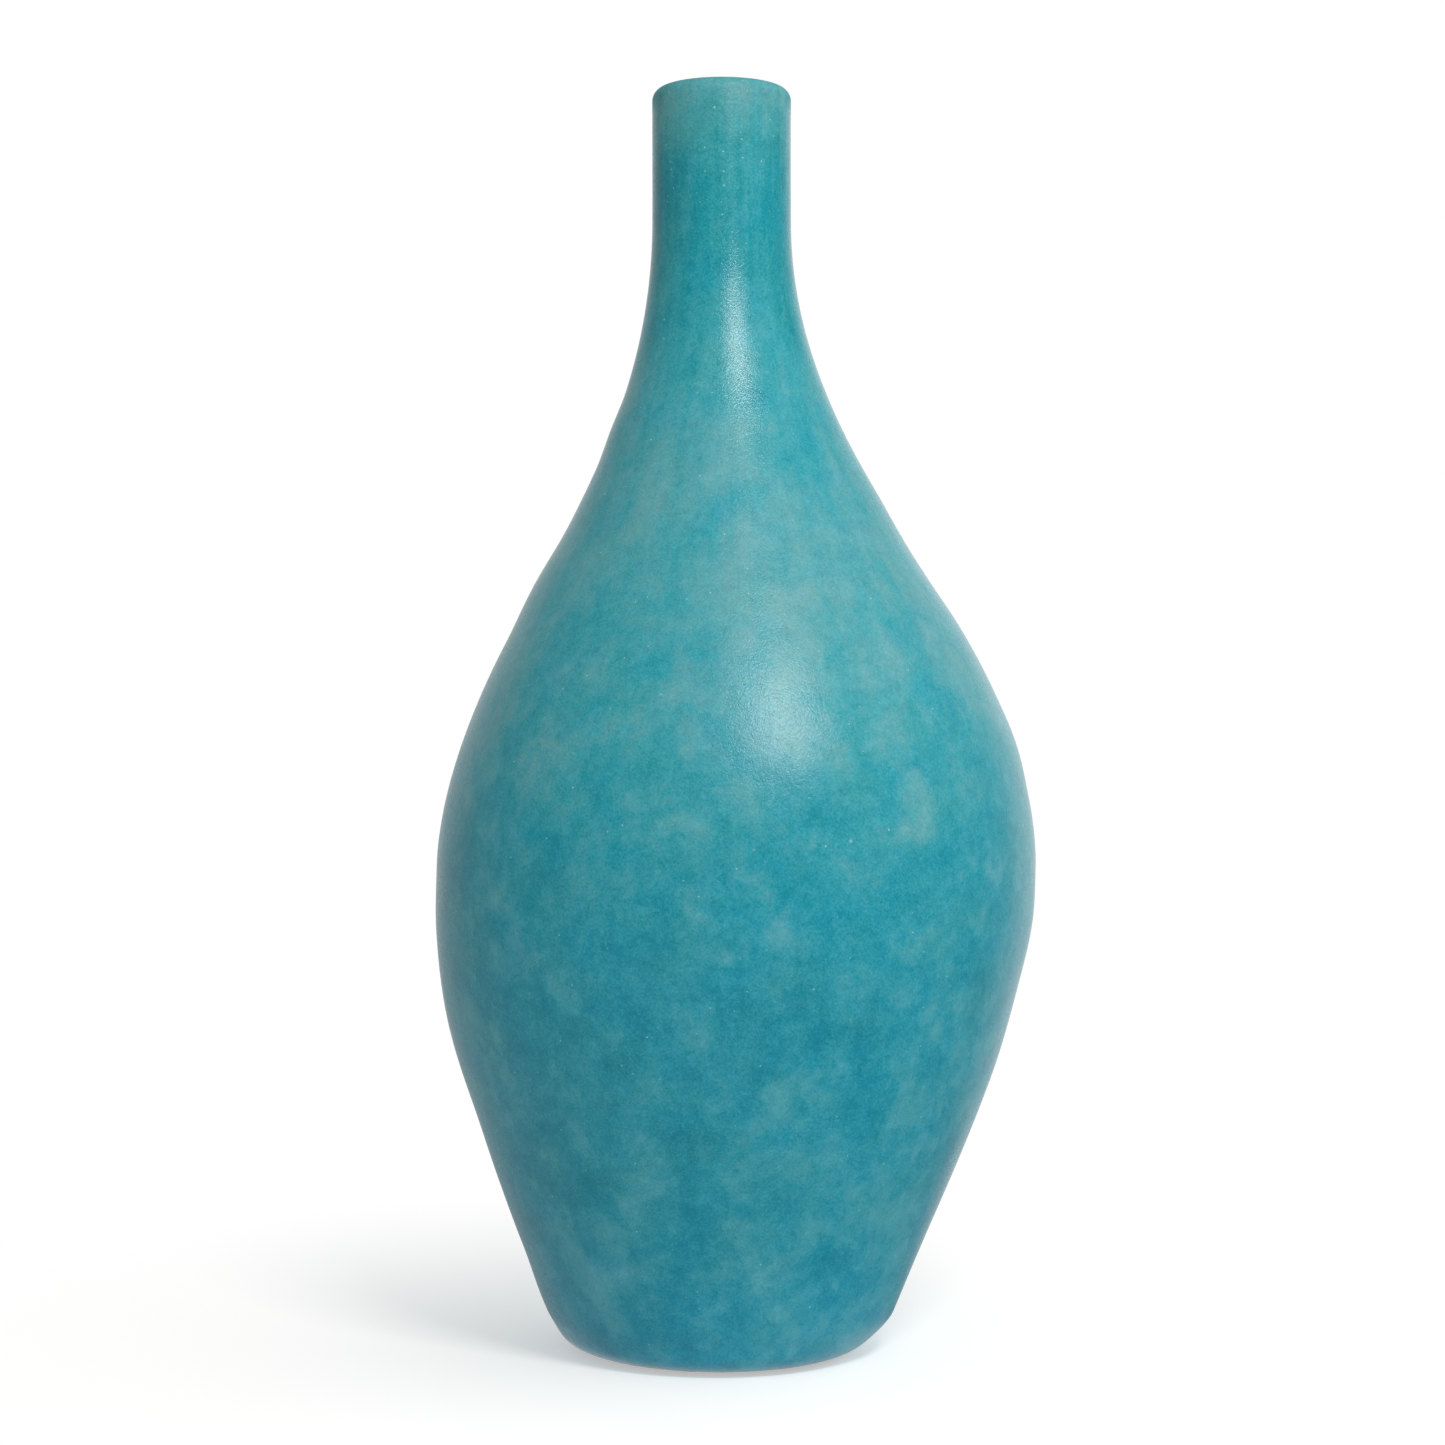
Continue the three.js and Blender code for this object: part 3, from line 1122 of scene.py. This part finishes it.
class VASE_OT_throw_sections(bpy.types.Operator):
    """Throw the base, the shoulder and the neck of the pot"""

    bl_idname = "vase.throw_sections"
    bl_label = "Throw the sections"

    def execute(self, context):
        shape, clay = context.scene.vase_shape, context.scene.vase_clay
        fired = fired_clay("terracotta", clay, clay.terracotta)
        base = thrown(shape, "thrown_base", base_outline(shape), shape.steps_around)
        corners = [
            edge
            for edge in base.edges
            if all(abs(vert.co.z) < shape.gap / 9 for vert in edge.verts)
            and edge.calc_face_angle() > CORNER_ABOVE
        ]
        bmesh.ops.bevel(
            base,
            geom=corners,
            offset=shape.worn_edge,
            segments=3,
            profile=0.5,
            affect="EDGES",
            material=-1,
        )
        finished(base, "thrown_base", "base_section", fired)
        for name, outline in (("shoulder", shoulder_outline), ("neck", neck_outline)):
            ring = thrown(shape, f"thrown_{name}", outline(shape), shape.steps_around)
            finished(ring, f"thrown_{name}", f"{name}_section", fired)
        return {"FINISHED"}


class VASE_OT_lute_joints(bpy.types.Operator):
    """Lute the sections together with slip"""

    bl_idname = "vase.lute_joints"
    bl_label = "Lute the joints"

    def execute(self, context):
        shape, clay = context.scene.vase_shape, context.scene.vase_clay
        slip = fired_clay("slip", clay, clay.slip)
        for node, height in joint_heights(shape).items():
            name = f"{node}_slip"
            ring = thrown(shape, name, lute_outline(shape, height), shape.steps_around)
            finished(ring, name, node, slip)
        return {"FINISHED"}


class VASE_OT_float_first_coat(bpy.types.Operator):
    """Lay the first coat of lime plaster over the pot"""

    bl_idname = "vase.float_first_coat"
    bl_label = "Float the first coat"

    def execute(self, context):
        shape, clay = context.scene.vase_shape, context.scene.vase_clay
        name = "floated_coat"
        coat = thrown(shape, name, first_coat_outline(shape), shape.steps_around)
        finished(coat, name, "first_coat", floated_plaster(clay))
        return {"FINISHED"}


class VASE_OT_burnish_finish_coat(bpy.types.Operator):
    """Lay the turquoise finish coat and burnish it with a stone"""

    bl_idname = "vase.burnish_finish_coat"
    bl_label = "Burnish the finish coat"

    def execute(self, context):
        shape = context.scene.vase_shape
        name = "burnished_coat"
        coat = thrown(shape, name, finish_coat_outline(shape), shape.coat_steps)
        burnish(shape, coat)
        plaster = burnished_plaster(context.scene.vase_plaster)
        finished(coat, name, "finish_coat", plaster)
        return {"FINISHED"}


def direction(azimuth, elevation):
    """From the vase: azimuth 0 is towards the camera, and turns to the camera's right"""
    return Vector(
        (
            sin(azimuth) * cos(elevation),
            -cos(azimuth) * cos(elevation),
            sin(elevation),
        )
    )


def softbox(studio, target):
    """The key light, turned to the target"""
    lamp = bpy.data.lights.new("key", "AREA")
    lamp.energy = studio.key_power
    lamp.color = studio.key_colour
    lamp.shape = "RECTANGLE"
    lamp.size, lamp.size_y = studio.key_width, studio.key_height
    box = bpy.data.objects.new("key", lamp)
    away = direction(studio.key_azimuth, studio.key_elevation)
    box.location = target + away * studio.key_distance
    box.rotation_euler = away.to_track_quat("Z", "Y").to_euler()
    bpy.context.scene.collection.objects.link(box)


def surroundings(studio):
    """White for the camera, even for the light, and for the gloss white behind and darker in front"""
    world = bpy.data.worlds.new("studio")
    world.use_nodes = True
    sheet = Sheet(world.node_tree)
    camera, glossy, clear = sheet.rays()
    towards = sheet.add("ShaderNodeTexCoord", output="Generated")
    x, y, z = sheet.split(towards)
    behind = y.between(0.3, 1.0, "LINEAR")
    behind = behind * behind * z.between(0.65, 0.2)
    gloss = behind * (x * 0.6 + z.between(0, 0.35) * 0.2 + 0.72) - x * 0.06 + 0.28
    flag = x.between(-0.35, -0.90) * z.between(-0.05, 0.35) * studio.left_flag
    even = x * studio.sky_tilt + studio.sky - flag
    even = glossy * (gloss - even) + even
    seen = camera.over(clear)
    strength = seen * (1 - even) + even
    shader = sheet.add(
        "ShaderNodeBackground", None, {"Color": (1, 1, 1, 1), "Strength": strength}
    )
    sheet.add("ShaderNodeOutputWorld", None, {"Surface": shader})
    bpy.context.scene.world = world


def paper(studio):
    """Pale paper that keeps the vase's shadow, and turns into plain white away from it"""
    made, sheet = material("paper")
    place = sheet.place()
    far = sheet.vector("LENGTH", place, output="Value")
    camera, glossy, clear = sheet.rays()
    plain = far.between(studio.fade_start, studio.fade_end) * camera.over(clear)
    matte = sheet.add(
        "ShaderNodeBsdfDiffuse", None, {"Color": rgba(studio.floor_colour)}
    )
    lift = sheet.add("ShaderNodeEmission", None, {"Strength": camera * studio.paper_lift})
    matte = sheet.add("ShaderNodeAddShader", None, {0: matte, 1: lift})
    # For mirrored rays the paper glows instead, brighter behind and to the right, and brighter still
    # close round the foot: a painted glow that the foot mirrors in place of the paper's shade there
    right, back, _ = sheet.split(sheet.vector("NORMALIZE", place))
    behind = back.between(0.3, 1.0, "LINEAR")
    mirrored = behind * behind * (right * 0.7 + 0.62) - right * 0.1 + 0.33
    mirrored = far.between(0.09, 0.06) * 0.36 + mirrored
    bright = sheet.add("ShaderNodeEmission", None, {"Strength": mirrored})
    matte = sheet.add("ShaderNodeMixShader", None, {0: glossy, 1: matte, 2: bright})
    white = sheet.add("ShaderNodeEmission", None, {"Strength": 1})
    surface = sheet.add("ShaderNodeMixShader", None, {0: plain, 1: matte, 2: white})
    sheet.add("ShaderNodeOutputMaterial", None, {"Surface": surface})
    return made


class VASE_OT_set_stage(bpy.types.Operator):
    """Set up the paper, the lamps, the surroundings and the camera"""

    bl_idname = "vase.set_stage"
    bl_label = "Set the stage"

    def execute(self, context):
        scene = context.scene
        studio = scene.vase_studio
        bm = bmesh.new()
        bmesh.ops.create_circle(
            bm, cap_ends=True, segments=FLOOR_SIDES, radius=studio.floor_radius
        )
        mesh = bpy.data.meshes.new("paper")
        bm.to_mesh(mesh)
        bm.free()
        mesh.materials.append(paper(studio))
        floor = bpy.data.objects.new("paper", mesh)
        scene.collection.objects.link(floor)

        softbox(studio, Vector((0, 0, scene.vase_shape.height / 2)))
        surroundings(studio)

        lens = bpy.data.cameras.new("camera")
        lens.lens = studio.focal_length
        lens.sensor_width = SENSOR_WIDTH
        camera = bpy.data.objects.new("camera", lens)
        camera.location = (
            studio.camera_side,
            -studio.camera_distance,
            studio.camera_height,
        )
        camera.rotation_euler = (pi / 2, 0, 0)
        scene.collection.objects.link(camera)
        scene.camera = camera
        scene.view_settings.view_transform = "Standard"
        return {"FINISHED"}


# Sidebar


class VASE_PT_sidebar(bpy.types.Panel):
    """Makes the vase, piece by piece"""

    bl_idname = "VASE_PT_sidebar"
    bl_label = "Plaster vase"
    bl_space_type = "VIEW_3D"
    bl_region_type = "UI"
    bl_category = "Vase"

    def draw(self, context):
        layout = self.layout
        for name in GROUPS:
            group = getattr(context.scene, name)
            box = layout.box()
            box.label(text=group.__doc__)
            for prop in group.__annotations__:
                box.prop(group, prop)
        for step in STEPS:
            layout.operator(step.bl_idname)


GROUPS = {
    "vase_shape": VaseShape,
    "vase_plaster": PlasterFinish,
    "vase_clay": ClayFinish,
    "vase_studio": Studio,
}
STEPS = (
    VASE_OT_throw_sections,
    VASE_OT_lute_joints,
    VASE_OT_float_first_coat,
    VASE_OT_burnish_finish_coat,
    VASE_OT_set_stage,
)


def register():
    for cls in (*GROUPS.values(), *STEPS, VASE_PT_sidebar):
        bpy.utils.register_class(cls)
    for name, cls in GROUPS.items():
        setattr(bpy.types.Scene, name, PointerProperty(type=cls))


def unregister():
    for name in GROUPS:
        delattr(bpy.types.Scene, name)
    for cls in (VASE_PT_sidebar, *reversed(STEPS), *reversed(GROUPS.values())):
        bpy.utils.unregister_class(cls)


def main():
    register()
    bpy.ops.vase.throw_sections()
    bpy.ops.vase.lute_joints()
    bpy.ops.vase.float_first_coat()
    bpy.ops.vase.burnish_finish_coat()
    bpy.ops.vase.set_stage()


if __name__ == "__main__":
    main()
